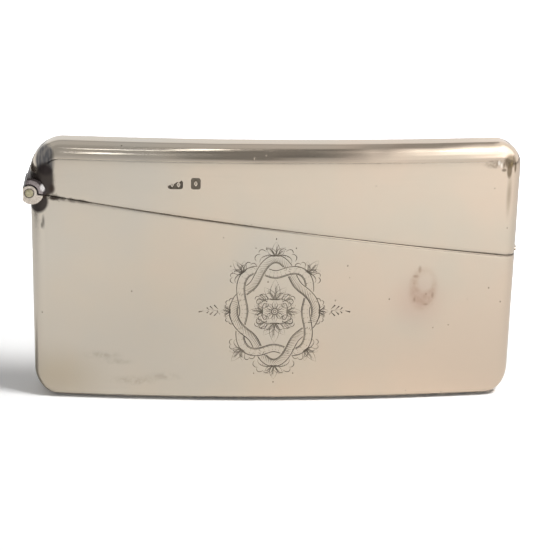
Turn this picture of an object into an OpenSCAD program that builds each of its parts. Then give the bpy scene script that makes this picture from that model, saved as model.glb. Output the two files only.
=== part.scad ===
// Curved silver card case for a pocket, with a slanting lid that hinges at its left end.
// Millimetres. +X is the owner's right, +Y goes away from the viewer, +Z is up.
// The origin is on the resting face of the base, in the middle of the case.
// The case is bowed about an upright axis behind it, so that its front is convex.

/* [Case] */
// Width of the case from end to end, without the hinge
case_w = 96; // [80:1:110]
// Height of the case, from the base to the top
case_h = 52.5; // [44:0.5:64]
// Thickness from the front face to the back face
case_t = 9; // [8:0.5:12]
// How far the two ends lie behind the middle
bow_depth = 3; // [1.5:0.1:6]
// Radius of the top corner at the hinge, seen from the front
hinge_corner_r = 5.6; // [4:0.1:7.5]
// Radius of the top corner at the free end, seen from the front
free_corner_r = 4.2; // [4:0.1:7.5]
// Radius of the two corners at the foot, seen from the front
foot_corner_r = 5; // [2:0.5:7.5]
// Rounding of the edges between the faces and the top and ends
edge_r = 3.4; // [2.5:0.1:3.8]
// Thickness of the silver sheet
wall = 0.6; // [0.5:0.05:0.8]
// Thickness of the base plate let in between the walls
base_t = 0.6; // [0.4:0.05:0.6]

/* [Lid line] */
// Height of the lid line at the hinge axis
seam_z = 42.4; // [36:0.1:44]
// Slope of the lid line, downwards to the right
seam_slope = 7.7; // [4:0.1:9]
// Gap between the mouth of the lid and the mouth of the body
seam_gap = 0.1; // [0.06:0.01:0.3]

/* [Inner rim] */
// Thickness of the rim inside the mouth
rim_t = 0.5; // [0.3:0.05:0.8]
// Clearance between the rim and the walls around it
rim_fit = 0.12; // [0.1:0.01:0.2]
// Height of the rim above the lid line at its right end
rim_rise = 2.2; // [1:0.1:3]
// Depth of the rim below the lid line
rim_depth = 4.5; // [3:0.1:8]
// Distance from the hinge axis to the left end of the rim
rim_start = 6; // [5:0.5:12]

/* [Hinge] */
// Outer diameter of the hinge knuckles
knuckle_d = 3.2; // [2.8:0.1:3.4]
// Diameter of the hinge pin
pin_d = 1.6; // [1.2:0.05:1.7]
// Running clearance of the pin in the knuckles, on the radius
pin_fit = 0.04; // [0.02:0.01:0.08]
// Length of the hinge across the case
hinge_len = 9.3; // [8:0.1:12]
// How far the middle of the hinge lies in front of the middle of the end of the case
hinge_forward = 0.2; // [0:0.05:0.4]
// Length of the middle knuckle, which belongs to the lid
lid_knuckle_len = 3; // [2:0.1:5]
// Gap between neighbouring knuckles
knuckle_gap = 0.08; // [0.05:0.01:0.15]
// How far the hinge axis lies outside the end of the case
hinge_out = 0.2; // [0:0.05:0.3]
// How far the outer side of the hinge, filed flat, stands from its axis
hinge_flat = 1.2; // [1.1:0.05:1.4]
// Clearance between a bearer and a knuckle that turns in it
seat_fit = 0.12; // [0.08:0.01:0.25]
// Outer radius of the bearer soldered to the body
body_bearer_r = 2.3; // [2.2:0.05:2.6]
// How far the middle of that radius lies inside the hinge axis
body_bearer_in = 0.45; // [0.3:0.05:0.6]
// Outer radius of the bearer soldered to the lid
lid_bearer_r = 3; // [2.5:0.05:3.3]
// How far the middle of that radius lies inside the hinge axis
lid_bearer_in = 0.25; // [0:0.05:0.5]
// How far the lid can turn before the two bearers would meet
lid_opens = 100; // [80:1:104]
// How far the domed ends of the pin stand out of the knuckles
pin_dome = 0.12; // [0.05:0.01:0.2]

/* [Thumb piece] */
// Length of the thumb piece across the case
thumb_len = 4.6; // [3:0.1:6]
// Height of the thumb piece
thumb_h = 1.3; // [0.9:0.1:2]
// How far the thumb piece stands out
thumb_out = 0.55; // [0.3:0.05:0.9]
// Distance of the thumb piece above the lid line
thumb_up = 0.1; // [0.05:0.05:1]

/* [Hidden] */

// Segments of a full turn at the hinge, at the swept edges and at the large bow
$fn = 96;
bow_fn = 256;
// Steps in a quarter turn of a rounded edge
edge_steps = 12;
// Length of the straight end blocks, which hold the corners. They are this much thinner than the
// middle, and run into it by this length and this turn.
end_len = 8;
end_step = 0.004;
end_overlap = 0.3;
corner_overlap = 2;
// A small overshoot for cuts, and a length beyond any of the case's
eps = 0.05;
far = 4*case_w;

silver = "#cdc2b3";
silver_inside = "#b9ab98";
hinge_silver = "#a89d90";
pin_metal = "#b3aa90";

// The bow: radius of the mid surface, and the angle at which the straight end blocks start
half_w = case_w/2;
bow_r = (half_w*half_w + bow_depth*bow_depth)/(2*bow_depth);
end_angle = asin(half_w/norm([bow_r, end_len])) - atan(end_len/bow_r);
// Middle of the end of the case, where the hinge and the thumb piece sit
end_y = bow_r*(1 - cos(end_angle)) + end_len*sin(end_angle);

// The hinge axis runs along Y through this point, and the hinge starts at this place at the front
axis_x = -half_w - hinge_out;
axis_z = seam_z;
hinge_front = end_y - hinge_forward - hinge_len/2;
knuckle_r = knuckle_d/2;
pin_r = pin_d/2;
bore_r = pin_r + pin_fit;
seat_r = knuckle_r + seat_fit;
outer_len = (hinge_len - lid_knuckle_len)/2 - knuckle_gap;

// The turns that the two bearers span. The gap between them on the far side is the turn that the
// lid can make, and a margin. The flat on the lid's bearer leans towards the lid by a small turn.
bearer_margin = 9;
lid_bearer_end = 117;
body_bearer_end = lid_bearer_end + lid_opens + bearer_margin - 360;
lid_flat_lean = 17;
// How far a knuckle's solder foot stays inside the ends of its bearer
foot_margin = 7;

// Half of the seam gap as a turn at the rim of a bearer
bearer_angle = asin(seam_gap/2/seat_r);

// The thumb piece's height above the base, and half of its outline as points from its axis
thumb_z = seam_z - (case_w + hinge_out)*tan(seam_slope) + seam_gap/2 + thumb_up + thumb_h/2;
spindle = [for (i = [-edge_steps:edge_steps]) let (t = 90*i/edge_steps)
    [thumb_h/2*cos(t), thumb_len/2*sin(t)]];

// The rim's top leaves the lid line at this angle
rim_angle = atan(rim_rise/(case_w + hinge_out - rim_start));
rim_inset = wall + rim_fit;

// Points of an arc from angle a to angle b about a centre
function arc(cx, cy, r, a, b) =
    [for (i = [0:edge_steps]) let (t = a + (b - a)*i/edge_steps) [cx + r*cos(t), cy + r*sin(t)]];

function reversed(points) = [for (i = [len(points) - 1:-1:0]) points[i]];

// Half of a cross-section through the case, d thick from the mid surface outwards, with its upper
// edge rounded by r
function half_section(d, low, top, r) = concat([[d, low]], arc(d - r, top - r, r, 0, 90));

// Half of the plan of an end block, from where it starts to the end of the case
function half_end(start, d, reach, r) = concat([[start, d]], arc(reach - r, d - r, r, 90, 0));

// The points of one half closed along the mid surface, or of the front and the back half together.
// side is 1 for the front, -1 for the back and 0 for both; axis is the coordinate across the case.
function across(points, axis) = [for (p = points) axis == 0 ? [-p[0], p[1]] : [p[0], -p[1]]];
function closed(points, first, last, side, axis) =
    side == 0 ? concat(points, reversed(across(points, axis)))
              : concat([first], side > 0 ? points : across(points, axis), [last]);

// The frame in which an end block is drawn: +X along the case to its end, +Y to the front
module at_end(end)
    translate([0, bow_r, 0])
    rotate([0, 0, end*end_angle])
    translate([0, -bow_r, 0])
    mirror([end < 0 ? 1 : 0, 0, 0])
    mirror([0, 1, 0])
        children();

// The outline of an end block seen from the front, with its lower corner rounded about a fixed centre
function end_outline(low, reach, inset) =
    concat([[-end_len, low], [end_len - foot_corner_r, low]],
           arc(end_len - foot_corner_r, foot_corner_r, foot_corner_r - inset, -90, 0),
           [[reach, case_h], [-end_len, case_h]]);

// The solid form of the case drawn inwards by an inset on every face: its front half, its back half
// or both. Its foot lies at z = low, and is open there where the inset form has no corner.
module case_form(side, inset, low)
{
    d = case_t/2 - inset;
    r = edge_r - inset;
    reach = end_len - inset;
    top = case_h - inset;
    section = closed(half_section(d, low, top, r), [0, low], [0, top], side, 0);
    // the bowed middle
    translate([0, bow_r, 0])
    rotate([0, 0, -90 - end_angle])
    rotate_extrude(angle = 2*end_angle, $fn = bow_fn)
    translate([bow_r, 0])
        polygon(section);
    for (end = [-1, 1]) {
        corner = end < 0 ? hinge_corner_r : free_corner_r;
        start = end_len - corner;
        upper = closed(half_section(d - end_step/2, case_h/2, top - end_step/2, r), [0, case_h/2],
                       [0, top - end_step/2], side, 0);
        plan = closed(half_end(-end_overlap, d - end_step, reach - end_step, r), [-end_overlap, 0],
                      [reach - end_step, 0], side, 1);
        turned = closed(half_end(0, d - end_step, corner - inset - end_step, r), [0, 0],
                        [corner - inset - end_step, 0], side, 1);
        // the upright end, rounded in plan, which starts a little inside the middle
        at_end(end)
        intersection() {
            translate([0, 0, low])
            linear_extrude(case_h - corner - low)
                polygon(plan);
            rotate([90, 0, 0])
            linear_extrude(2*case_t, center = true)
                polygon(end_outline(low, reach, inset));
        }
        // the straight top between the middle and the corner
        at_end(end)
        translate([-end_overlap/2, 0, 0])
        rotate([90, 0, 90])
        linear_extrude(start + end_overlap/2)
            polygon(upper);
        // the top corner, the same edge swept through a little more than a quarter turn
        at_end(end)
        translate([start, 0, case_h - corner])
        rotate([90, 0, 0])
        mirror([0, 0, 1])
        rotate_extrude(angle = 90 + corner_overlap)
            polygon(turned);
    }
}

// The space above a plane that leaves the lid line at a distance from the hinge axis
module above_lid_line(lift, start = 0, turn = 0)
    translate([axis_x, 0, axis_z])
    rotate([0, seam_slope, 0])
    translate([start, 0, lift])
    rotate([0, -turn, 0])
    translate([-far/2, -far/2, 0])
        cube(far);

// A bar along Y through the hinge axis, from one place to another across the case
module along_hinge(from, to)
    translate([axis_x, hinge_front + to, axis_z])
    rotate([90, 0, 0])
    linear_extrude(to - from)
        children();

// A fan about the hinge axis between two directions, given anticlockwise
module fan(from, to, reach = 4*lid_bearer_r)
    polygon(concat([[0, 0]], [for (i = [0:8]) let (t = from + (to - from)*i/8) reach*[cos(t), sin(t)]]));

// What is left of a form about the hinge axis once its outer side is filed flat
module filed(lean = 0)
    intersection() {
        children();
        rotate(-lean)
        translate([-hinge_flat, -far/2])
            square(far);
    }

// The round seat that both bearers and all walls leave around the knuckles
module hinge_seat()
    along_hinge(-knuckle_gap, hinge_len + knuckle_gap)
        circle(seat_r);

// One half of the shell, below the lid line for the body or above it for the lid
module body_half(side)
    difference() {
        case_form(side, 0, 0);
        case_form(0, wall, -eps);
        above_lid_line(-seam_gap/2);
        hinge_seat();
    }

module lid_half(side)
    difference() {
        intersection() {
            case_form(side, 0, 0);
            above_lid_line(seam_gap/2);
        }
        case_form(0, wall, -eps);
        hinge_seat();
    }

// Front half of the body, bowed outwards
module body_front() color(silver) body_half(1);

// Back half of the body, soldered to the front half along the mid surface
module body_back() color(silver) body_half(-1);

// Flat base plate let in between the walls
module base_plate()
    color(silver)
    intersection() {
        case_form(0, wall, 0);
        translate([-far/2, -far/2, -eps])
            cube([far, far, base_t + eps]);
    }

// Friction rim soldered inside the mouth. It falls to the lid line towards the hinge.
module inner_rim()
    color(silver_inside)
    difference() {
        intersection() {
            case_form(0, rim_inset, 0);
            above_lid_line(-rim_depth, rim_start);
            translate([axis_x + rim_start, -far/2, 0])
                cube(far);
        }
        case_form(0, rim_inset + rim_t, -eps);
        above_lid_line(0, rim_start, rim_angle);
    }

// Strip soldered to the end of the body, with a round seat for the knuckles
module body_bearer()
    color(hinge_silver)
    difference() {
        along_hinge(0, hinge_len)
            intersection() {
                filed() translate([body_bearer_in, 0]) circle(body_bearer_r);
                fan(body_bearer_end, -seam_slope - bearer_angle);
            }
        hinge_seat();
        case_form(0, 0, -eps);
    }

// Strip soldered to the end of the lid, above the knuckles
module lid_bearer()
    color(hinge_silver)
    difference() {
        along_hinge(0, hinge_len)
            intersection() {
                filed(lid_flat_lean) translate([lid_bearer_in, 0]) circle(lid_bearer_r);
                fan(-seam_slope + bearer_angle, lid_bearer_end);
            }
        hinge_seat();
        case_form(0, 0, -eps);
    }

// Tube of the hinge with its solder foot, which fills the seat of its own bearer
module knuckle(from, to, foot_from, foot_to)
    along_hinge(from, to)
        difference() {
            filed() union() {
                circle(knuckle_r);
                intersection() {
                    circle(seat_r);
                    fan(foot_from, foot_to);
                }
            }
            circle(bore_r);
        }

module front_knuckle()
    color(hinge_silver)
    knuckle(0, outer_len, body_bearer_end + foot_margin, -seam_slope - foot_margin);

module rear_knuckle()
    color(hinge_silver)
    knuckle(hinge_len - outer_len, hinge_len, body_bearer_end + foot_margin, -seam_slope - foot_margin);

module lid_knuckle()
    color(hinge_silver)
    knuckle(outer_len + knuckle_gap, hinge_len - outer_len - knuckle_gap,
            -seam_slope + foot_margin, lid_bearer_end - foot_margin);

// Pin through all three knuckles, domed at both ends
module hinge_pin()
    color(pin_metal)
    translate([axis_x, hinge_front + hinge_len, axis_z])
    rotate([90, 0, 0])
    rotate_extrude()
        polygon(concat([[0, -pin_dome], [pin_r*0.6, -pin_dome*0.72], [pin_r, 0]],
                       [[pin_r, hinge_len], [pin_r*0.6, hinge_len + pin_dome*0.72],
                        [0, hinge_len + pin_dome]]));

// Front and back halves of the lid, sawn from the same shell as the body
module lid_front() color(silver) lid_half(1);
module lid_back() color(silver) lid_half(-1);

// Small spindle on the end of the lid for the thumb, let into the surface
module thumb_piece()
    color(silver)
    difference() {
        at_end(1)
        translate([end_len + thumb_out - thumb_h/2, 0, thumb_z])
        rotate([90, 0, 0])
        rotate_extrude()
            polygon(spindle);
        case_form(0, 0, -eps);
    }

body_front();
body_back();
base_plate();
inner_rim();
body_bearer();
front_knuckle();
rear_knuckle();
hinge_pin();
lid_front();
lid_back();
lid_bearer();
lid_knuckle();
thumb_piece();
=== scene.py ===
import math

import bmesh
import bpy
from mathutils import Matrix, Quaternion, Vector, geometry, noise


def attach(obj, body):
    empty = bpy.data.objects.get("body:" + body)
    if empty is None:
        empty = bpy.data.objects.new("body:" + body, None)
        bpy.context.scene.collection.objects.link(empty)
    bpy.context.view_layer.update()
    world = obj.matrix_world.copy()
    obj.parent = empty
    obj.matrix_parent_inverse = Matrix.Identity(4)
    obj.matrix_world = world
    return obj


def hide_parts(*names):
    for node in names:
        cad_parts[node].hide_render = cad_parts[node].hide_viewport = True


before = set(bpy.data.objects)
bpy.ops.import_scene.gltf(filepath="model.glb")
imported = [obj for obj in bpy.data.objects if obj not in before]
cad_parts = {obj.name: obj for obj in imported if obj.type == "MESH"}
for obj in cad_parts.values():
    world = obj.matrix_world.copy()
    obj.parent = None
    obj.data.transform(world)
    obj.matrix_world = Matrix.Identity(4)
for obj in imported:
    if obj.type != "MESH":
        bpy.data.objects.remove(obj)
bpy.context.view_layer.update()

# The camera: a long lens a little left of the middle, looking down on the case by 20 degrees, and
# turned by hardly more than a degree about its own axis.
EYE = Vector((-0.023152, -0.345581, 0.153107))
TARGET = Vector((0, 0, 0.025))
CAMERA_ROLL = math.radians(1.381)
camera_data = bpy.data.cameras.new("camera")
camera_data.sensor_width = 36
camera_data.lens = 121.25
camera_data.shift_x = -0.0002
camera_data.shift_y = -0.0012
camera = bpy.data.objects.new("camera", camera_data)
camera.location = EYE
camera.rotation_mode = "QUATERNION"
camera.rotation_quaternion = (TARGET - EYE).to_track_quat("-Z", "Y") @ Quaternion((0, 0, 1), CAMERA_ROLL)
bpy.context.collection.objects.link(camera)
bpy.context.scene.camera = camera
bpy.context.scene.view_settings.view_transform = "Standard"


# The studio: a sheet of white paper under the case in a white room, a large softbox at the right, and
# a lamp and two narrow strips at the left. Polished silver shows what stands round it, so pale, dark
# and white cloths hang over the camera and beside the case, as a photographer hangs them. They are
# cards that only the silver sees, and they glow with painted greys that stand for the light and shade
# on each cloth; the white ones glow brighter than white.
def linear(code):
    """An sRGB hex colour as linear red, green, blue and alpha."""
    parts = [int(code[i:i + 2], 16)/255 for i in (1, 3, 5)]
    return [c/12.92 if c <= 0.04045 else ((c + 0.055)/1.055)**2.4 for c in parts] + [1]


def grey(level):
    """A grey of a linear level."""
    return [level, level, level, 1]


def add(tree, kind, links=None, stops=None, **settings):
    """Adds a node. Settings are its properties, or values of its inputs by name, or by number as in0.
    Links are {input: socket, or node for its first output}. Stops are a colour ramp's pairs."""
    node = tree.nodes.new(kind)
    for key, value in settings.items():
        if hasattr(node, key):
            setattr(node, key, value)
            continue
        numbered = key.startswith("in") and key[2:].isdigit()
        node.inputs[int(key[2:]) if numbered else key.replace("_", " ")].default_value = value
    for key, source in (links or {}).items():
        tree.links.new(getattr(source, "outputs", [source])[0], node.inputs[key])
    if stops:
        band = node.color_ramp.elements
        while len(band) < len(stops):
            band.new(0.5)
        for element, (place, colour) in zip(band, stops):
            element.position = place
            element.color = colour
    return node


def new_tree(name):
    """A new material and its empty tree."""
    material = bpy.data.materials.new(name)
    material.use_nodes = True
    material.node_tree.nodes.clear()
    return material, material.node_tree


def add_object(name, bm, material):
    """Makes an object of a bmesh in millimetres, smooth except over sharp edges."""
    bmesh.ops.scale(bm, vec=(0.001,)*3, verts=bm.verts)
    mesh = bpy.data.meshes.new(name)
    bm.to_mesh(mesh)
    bm.free()
    mesh.shade_smooth()
    mesh.set_sharp_from_angle(angle=math.radians(30))
    mesh.materials.append(material)
    made = bpy.data.objects.new(name, mesh)
    bpy.context.collection.objects.link(made)
    return made


PAPER_SIDE = 3000
# The paper lies this far below the foot: a thin gap that stands for a base that is not quite flat and
# touches the paper in a few places only
PAPER_BELOW = 0.6
paper, tree = new_tree("white_paper_sheet")
here = add(tree, "ShaderNodeLightPath")
place = add(tree, "ShaderNodeTexCoord")
across = add(tree, "ShaderNodeSeparateXYZ", {0: place.outputs["Object"]})
# Painted shade: as the silver sees it, the paper is a little darker close in front of the case and far in
# front, where the photographer is
ahead = add(tree, "ShaderNodeMapRange", {0: across.outputs["Y"]}, in1=-0.25, in2=0.0)
fall = add(tree, "ShaderNodeValToRGB", {0: ahead},
           stops=[(0, grey(0.72)), (0.4, grey(0.89)), (0.8, grey(0.77)), (1, grey(0.7))])
# and painted lighter at the left, close to the case
left = add(tree, "ShaderNodeMapRange", {0: across.outputs["Y"]},
           in1=-0.145, in2=-0.085, in3=0.9, in4=1.14)
side = add(tree, "ShaderNodeMapRange", {0: across.outputs["X"], 3: left}, in1=-0.12, in2=-0.03, in4=0.89)
level = add(tree, "ShaderNodeMath", {0: fall, 1: side}, operation="MULTIPLY")
level = add(tree, "ShaderNodeMath", {0: level}, operation="MULTIPLY", in1=1.12)
shade = add(tree, "ShaderNodeCombineColor", {i: level for i in range(3)})
matt = add(tree, "ShaderNodeBsdfDiffuse", {"Color": shade})
# To the camera it is white, and behind the case and away from it it turns white by itself
seen = add(tree, "ShaderNodeBsdfDiffuse", Color=grey(1))
behind = add(tree, "ShaderNodeMapRange", {0: across.outputs["Y"]}, in1=0.025, in2=0.11, in3=0.04, in4=0.8)
reach = add(tree, "ShaderNodeVectorMath", {0: place.outputs["Object"]}, operation="LENGTH")
afar = add(tree, "ShaderNodeMapRange", {0: reach.outputs["Value"]}, in1=0.15, in2=0.4)
white = add(tree, "ShaderNodeMath", {0: behind, 1: afar}, operation="MAXIMUM")
lift = add(tree, "ShaderNodeEmission", {"Strength": white}, Color=grey(1))
both = add(tree, "ShaderNodeAddShader", {0: seen, 1: lift})
pick = add(tree, "ShaderNodeMixShader", {0: here.outputs["Is Camera Ray"], 1: matt, 2: both})
add(tree, "ShaderNodeOutputMaterial", {"Surface": pick})
bm = bmesh.new()
bmesh.ops.create_grid(bm, x_segments=1, y_segments=1, size=PAPER_SIDE/2,
                      matrix=Matrix.Translation((0, 0, -PAPER_BELOW)))
floor = add_object("floor", bm, paper)


def reflected_only(card):
    """A card that the silver shows, and that lights or shades nothing."""
    card.visible_camera = card.visible_diffuse = card.visible_shadow = False
    card.visible_transmission = False


# The dark table beyond the left edge of the paper, by half its length and width: a card that glows with a
# painted dark grey
TABLE_FROM = -158
TABLE_HALF = (400, 500)
table_cloth, tree = new_tree("dark_table_cloth")
glow = add(tree, "ShaderNodeEmission", Color=linear("#39322f"))
add(tree, "ShaderNodeOutputMaterial", {"Surface": glow})
bm = bmesh.new()
bmesh.ops.create_grid(bm, x_segments=1, y_segments=1, size=1,
                      matrix=Matrix.Translation((TABLE_FROM - TABLE_HALF[0], -150, 0.5))
                      @ Matrix.Diagonal((*TABLE_HALF, 1, 1)))
reflected_only(add_object("table_card", bm, table_cloth))

# The cloths hang in arches about an axis along the case. Their angles are counted from low in front
# over the top to the back.
ARCH_Z = 50


def hung_cloth(name, radius, reach, left, right, fade, levels):
    """A glowing cloth from one angle to another, with soft left and right edges and a painted grey for its
    light or shade at some angles.
    """
    material, tree = new_tree(name)
    place = add(tree, "ShaderNodeTexCoord")
    parts = add(tree, "ShaderNodeSeparateXYZ", {0: place.outputs["Object"]})
    up = add(tree, "ShaderNodeMath", {0: parts.outputs["Z"]}, operation="SUBTRACT", in1=ARCH_Z/1000)
    ahead = add(tree, "ShaderNodeMath", {0: parts.outputs["Y"]}, operation="MULTIPLY", in1=-1)
    turn = add(tree, "ShaderNodeMath", {0: up, 1: ahead}, operation="ARCTAN2")
    part = add(tree, "ShaderNodeMath", {0: turn}, operation="DIVIDE", in1=math.pi)
    shade = add(tree, "ShaderNodeValToRGB", {0: part}, stops=[(d/180, grey(v)) for d, v in levels])
    glow = add(tree, "ShaderNodeEmission", {"Color": shade})
    open_side = add(tree, "ShaderNodeBsdfTransparent")
    low = add(tree, "ShaderNodeMapRange", {0: parts.outputs["X"]}, interpolation_type="SMOOTHSTEP",
              in1=left/1000, in2=(left + fade)/1000)
    high = add(tree, "ShaderNodeMapRange", {0: parts.outputs["X"]}, interpolation_type="SMOOTHSTEP",
               in1=right/1000, in2=(right - fade)/1000)
    cover = add(tree, "ShaderNodeMath", {0: low, 1: high}, operation="MULTIPLY")
    pick = add(tree, "ShaderNodeMixShader", {0: cover, 1: open_side, 2: glow})
    add(tree, "ShaderNodeOutputMaterial", {"Surface": pick})
    bm = bmesh.new()
    start = [bm.verts.new((x, -radius, 0)) for x in (left, right)]
    edge = bm.edges.new(start)
    lifted = Matrix.Rotation(-math.radians(reach[0]), 3, "X")
    bmesh.ops.rotate(bm, verts=bm.verts, cent=(0, 0, 0), matrix=lifted)
    bmesh.ops.spin(bm, geom=[*start, edge], cent=(0, 0, 0), axis=(-1, 0, 0),
                   angle=math.radians(reach[1] - reach[0]), steps=48)
    bmesh.ops.translate(bm, verts=bm.verts, vec=(0, 0, ARCH_Z))
    reflected_only(add_object(name, bm, material))


hung_cloth("pale_cloth", 600, (3, 176), -460, 160, 45,
           [(3, 0.6), (10, 0.56), (20, 0.47), (30, 0.42), (84, 0.42), (92, 0.46), (104, 0.58),
            (132, 0.58), (138, 0.46), (145, 0.44), (148, 0.88), (176, 0.88)])
hung_cloth("dark_cloth", 590, (10, 92), -75, 62, 24, [(10, 0.42), (20, 0.21), (82, 0.21), (92, 0.42)])
hung_cloth("dark_cloth_at_the_right", 580, (28, 98), 32, 116, 24,
           [(28, 0.42), (36, 0.15), (90, 0.17), (98, 0.42)])
hung_cloth("ceiling_at_the_right", 590, (92, 150), 84, 188, 26, [(92, 0.5), (102, 0.34), (150, 0.34)])
hung_cloth("white_cloth", 585, (38, 108), 168, 300, 40, [(38, 1.0), (46, 1.7), (92, 1.7), (108, 1.0)])
hung_cloth("low_cloth_at_the_right", 300, (-9, 14), 75, 1500, 40, [(0, 0.82), (14, 0.86)])
hung_cloth("wide_white_cloth", 575, (14, 118), 240, 1500, 40,
           [(14, 1.2), (22, 1.8), (106, 1.8), (118, 1.2)])


def lamp(name, place, size, power, aim=(0, 0, 25)):
    """A softbox in millimetres, with its power in watts, aimed at a place on the case."""
    data = bpy.data.lights.new(name, "AREA")
    data.shape = "RECTANGLE"
    data.size, data.size_y = size[0]/1000, size[1]/1000
    data.energy = power
    made = bpy.data.objects.new(name, data)
    made.location = Vector(place)/1000
    made.rotation_mode = "QUATERNION"
    made.rotation_quaternion = (Vector(aim) - Vector(place)).to_track_quat("-Z", "Y")
    bpy.context.collection.objects.link(made)


lamp("right_softbox", (300, -120, 540), (150, 150), 3.3)
lamp("left_lamp", (-130, -453, 444), (36, 260), 0.2)
lamp("slanting_strip", (-52, -190, 612), (15, 380), 0.08, (-40, -137, 25))
lamp("short_strip", (-94, -225, 605), (30, 100), 0.04, (-34, -225, 25))

# The room is white to the camera and in the silver, but lights the case with a quarter of that
world = bpy.data.worlds.new("white_room")
bpy.context.scene.world = world
world.use_nodes = True
tree = world.node_tree
tree.nodes.clear()
here = add(tree, "ShaderNodeLightPath")
plain = add(tree, "ShaderNodeMath", {0: here.outputs["Is Camera Ray"], 1: here.outputs["Is Glossy Ray"]},
            operation="MAXIMUM")
plain = add(tree, "ShaderNodeMath", {0: plain, 1: here.outputs["Is Transmission Ray"]},
            operation="MAXIMUM")
level = add(tree, "ShaderNodeMapRange", {0: plain}, in3=0.26, in4=1.0)
back = add(tree, "ShaderNodeBackground", {"Strength": level}, Color=grey(1))
add(tree, "ShaderNodeOutputWorld", {"Surface": back})

# The shells: one box of sterling sheet, 0.6 mm thick, raised over a form in two halves, soldered
# along its middle and sawn apart at the lid line. A century of polishing has left its edges soft and
# its faces not quite true.
CASE_H = 52.5
CASE_T = 9
HINGE_CORNER_R = 6.4
FREE_CORNER_R = 4.8
FOOT_CORNER_R = 5
EDGE_R = 3.4
FOOT_EDGE_R = 0.8
WALL = 0.55
END_LEN = 8
BOW_R = 385.5
END_ANGLE = math.radians(5.9623)
END_Y = 2.916
AXIS = Vector((-48.2, 0, 42.4))
SEAM_SLOPE = math.radians(7.7)
SEAM_GAP = 0.1
SEAM_UP = Vector((math.sin(SEAM_SLOPE), 0, math.cos(SEAM_SLOPE)))
HINGE_LEN = 9.3
HINGE_FORWARD = 0.2
HINGE_FRONT = END_Y - HINGE_FORWARD - HINGE_LEN/2
SEAT_R = 1.72
SEAT_GAP = 0.08
# The polished skin lies a hair inside the sheet as it was cut
INSET = 0.015
BOW_LEN = BOW_R*END_ANGLE
HALF = BOW_LEN + END_LEN - INSET
DEEP = CASE_T/2 - INSET
# The skin is divided this finely, so that its faces can bend and wear, and ends are round in steps
FACE_STEP = 1.5
CORNER_STEPS = 18
EDGE_STEPS = 14


def bent(s, n, z):
    """The place of a point s along the middle of the case, n in front of it and z up."""
    a = max(-END_ANGLE, min(END_ANGLE, s/BOW_R))
    rest = s - a*BOW_R
    return Vector(((BOW_R + n)*math.sin(a) + rest*math.cos(a),
                   BOW_R - (BOW_R + n)*math.cos(a) + rest*math.sin(a), z))


def cuts(bm, normal, steps, where=lambda face: True):
    """Cuts faces by parallel planes, so that they can be shaped in between."""
    for place in (FACE_STEP*i for i in steps):
        faces = [f for f in bm.faces if where(f)]
        geom = list({x for f in faces for x in (*f.verts, *f.edges)}) + faces
        bmesh.ops.bisect_plane(bm, geom=geom, plane_co=Vector(normal)*place, plane_no=normal, dist=1e-5)


def sharpen_foot(bm):
    """Draws the rounded rim together along the foot, where the walls are filed to a crisp edge."""
    sharp = FOOT_EDGE_R/EDGE_R
    for v in bm.verts:
        side = math.copysign(HALF - FOOT_CORNER_R, v.co.x)
        out = (v.co.x - side)*math.copysign(1, side)
        if out <= 1e-4 and v.co.z < EDGE_R:
            keep = sharp
            v.co.z *= keep
        elif out > 1e-4 and v.co.z < FOOT_CORNER_R - 1e-4:
            low = FOOT_CORNER_R - v.co.z
            part = math.atan2(low, out)/(math.pi/2)
            keep = 1 + (sharp - 1)*part*part*(3 - 2*part)
            reach = math.hypot(out, low)
            grown = (FOOT_CORNER_R - (FOOT_CORNER_R - reach)*keep)/reach
            v.co.x = side + math.copysign(out*grown, side)
            v.co.z = FOOT_CORNER_R - low*grown
        else:
            continue
        v.co.y = math.copysign(DEEP - (DEEP - abs(v.co.y))*keep, v.co.y)


def rounded(bm, edges, radius, steps, **settings):
    """Rounds edges."""
    bmesh.ops.bevel(bm, geom=edges, affect="EDGES", offset=radius, segments=steps, profile=0.5,
                    material=-1, **settings)


def box_skin():
    """The outer skin of the whole case, open below, as it is before it is sawn apart."""
    bm = bmesh.new()
    top = CASE_H - INSET
    bmesh.ops.create_cube(bm, size=2, matrix=Matrix.Translation((0, 0, top/2))
                          @ Matrix.Diagonal((HALF, DEEP, top/2, 1)))
    for right, upper, radius in ((False, True, HINGE_CORNER_R), (True, True, FREE_CORNER_R),
                                 (False, False, FOOT_CORNER_R), (True, False, FOOT_CORNER_R)):
        corner = [e for e in bm.edges if abs(e.verts[0].co.y - e.verts[1].co.y) > DEEP
                  and all((v.co.x > 0) == right and (v.co.z > 1) == upper for v in e.verts)]
        rounded(bm, corner, radius - INSET, CORNER_STEPS)
    rim = [e for e in bm.edges if abs(e.verts[0].co.y - e.verts[1].co.y) < 1]
    rounded(bm, rim, EDGE_R - INSET, EDGE_STEPS)
    sharpen_foot(bm)
    foot = [f for f in bm.faces if f.calc_center_median().z < 0.01 and abs(f.calc_center_median().y) < 1]
    bmesh.ops.delete(bm, geom=foot, context="FACES")
    cuts(bm, (1, 0, 0), range(-28, 29))
    for v in bm.verts:
        v.co = bent(v.co.x, -v.co.y, max(0, v.co.z))
    return bm


# How deep, and over what length, the faces have sunk and the edges are dinged
SINK, SINK_LENGTH = 0.05, 17
DING, DING_LENGTH, DING_FROM = 0.07, 5.5, 0.12
# Within this distance of the hinge axis the shells are true, and from there on less and less
TRUE_WITHIN, TRUE_FADE = 4, 6


def sunk(co):
    """How far polishing and carrying have let the face sink at a place."""
    return SINK*(0.5 + 0.5*noise.noise(co/SINK_LENGTH))


def from_axis(v):
    """How far a point lies from the hinge axis."""
    return math.hypot(v.co.x - AXIS.x, v.co.z - AXIS.z)


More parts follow.
